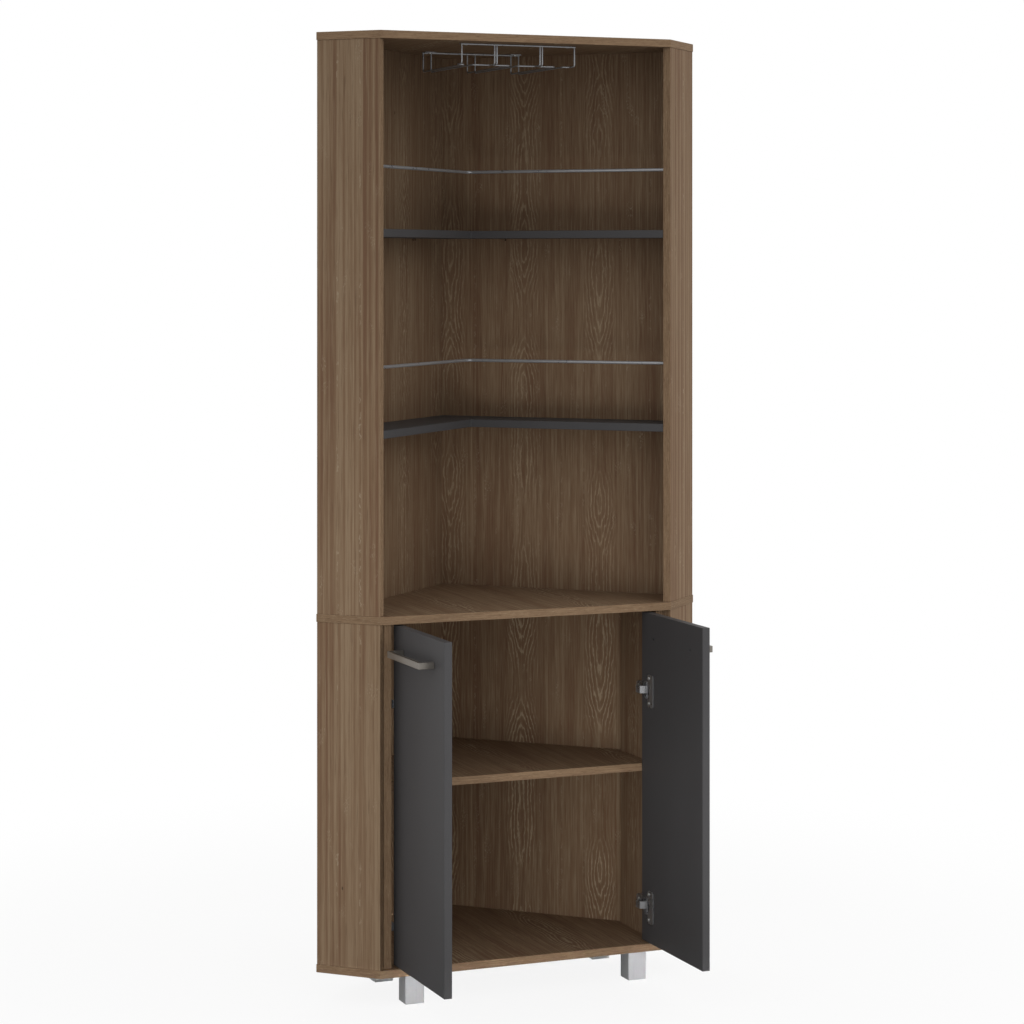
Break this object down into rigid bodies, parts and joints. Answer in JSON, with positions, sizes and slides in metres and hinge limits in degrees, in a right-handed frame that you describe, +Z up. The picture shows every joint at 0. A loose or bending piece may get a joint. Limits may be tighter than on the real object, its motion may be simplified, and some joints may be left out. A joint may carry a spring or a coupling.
{
  "type": "corner bar cabinet",
  "caption": "Free-standing corner bar cabinet: open L-shaped shelves with gallery rails and a hanging glass rack above a counter, hinged-door cupboard with an inner shelf below.",
  "frame": {"origin": "middle of the rear leg's foot, on the floor", "axes": "+X to the right of someone facing the doors, +Y towards the corner of the room, +Z up"},
  "size_m": [0.7772, 0.7204, 1.8],
  "materials": {
    "oak_laminate": "matt mid-brown oak-grain laminate on board",
    "graphite_laminate": "matt dark graphite laminate on board",
    "leg_aluminium": "satin aluminium",
    "chrome_wire": "bright chrome plating",
    "brushed_nickel": "brushed nickel",
    "hinge_steel": "nickel-plated pressed steel",
    "zinc_steel": "bright zinc-plated steel",
    "beech": "plain fluted beech"
  },
  "bodies": {
    "cabinet": {"top_board": "oak_laminate", "counter_board": "oak_laminate", "bottom_board": "oak_laminate", "upper_left_side": "oak_laminate", "upper_right_side": "oak_laminate", "lower_left_side": "oak_laminate", "lower_right_side": "oak_laminate", "upper_left_back": "oak_laminate", "upper_right_back": "oak_laminate", "lower_left_back": "oak_laminate", "lower_right_back": "oak_laminate", "left_hinge_panel": "oak_laminate", "right_hinge_panel": "oak_laminate", "inner_shelf": "oak_laminate", "upper_shelf": "graphite_laminate", "middle_shelf": "graphite_laminate", "front_left_leg": "leg_aluminium", "front_right_leg": "leg_aluminium", "side_left_leg": "leg_aluminium", "side_right_leg": "leg_aluminium", "rear_leg": "leg_aluminium", "upper_rail": "chrome_wire", "middle_rail": "chrome_wire", "glass_rack": "chrome_wire", "left_upper_hinge_arm": "hinge_steel", "left_upper_hinge_plate": "hinge_steel", "left_lower_hinge_arm": "hinge_steel", "left_lower_hinge_plate": "hinge_steel", "right_upper_hinge_arm": "hinge_steel", "right_upper_hinge_plate": "hinge_steel", "right_lower_hinge_arm": "hinge_steel", "right_lower_hinge_plate": "hinge_steel", "assembly_screws": "zinc_steel", "rack_screws": "zinc_steel", "plate_screws": "zinc_steel", "arm_screws": "zinc_steel", "shelf_pins": "zinc_steel", "leg_studs": "zinc_steel", "dowels": "beech"},
    "left_door_leaf": {"left_door": "graphite_laminate", "left_handle": "brushed_nickel", "left_handle_screws": "zinc_steel", "left_cup_screws": "zinc_steel", "left_upper_hinge_cup": "hinge_steel", "left_upper_hinge_pin": "hinge_steel", "left_lower_hinge_cup": "hinge_steel", "left_lower_hinge_pin": "hinge_steel"},
    "right_door_leaf": {"right_door": "graphite_laminate", "right_handle": "brushed_nickel", "right_handle_screws": "zinc_steel", "right_cup_screws": "zinc_steel", "right_upper_hinge_cup": "hinge_steel", "right_upper_hinge_pin": "hinge_steel", "right_lower_hinge_cup": "hinge_steel", "right_lower_hinge_pin": "hinge_steel"}
  },
  "joints": [
    {"name": "left_door_hinge", "type": "hinge", "parent": "cabinet", "child": "left_door_leaf", "pos_m": [-0.25046, -0.40175, 0.386], "axis": [0, 0, -1], "range_deg": [-90, 5]},
    {"name": "right_door_hinge", "type": "hinge", "parent": "cabinet", "child": "right_door_leaf", "pos_m": [0.25046, -0.40175, 0.386], "axis": [0, 0, 1], "range_deg": [-90, 5]}
  ]
}
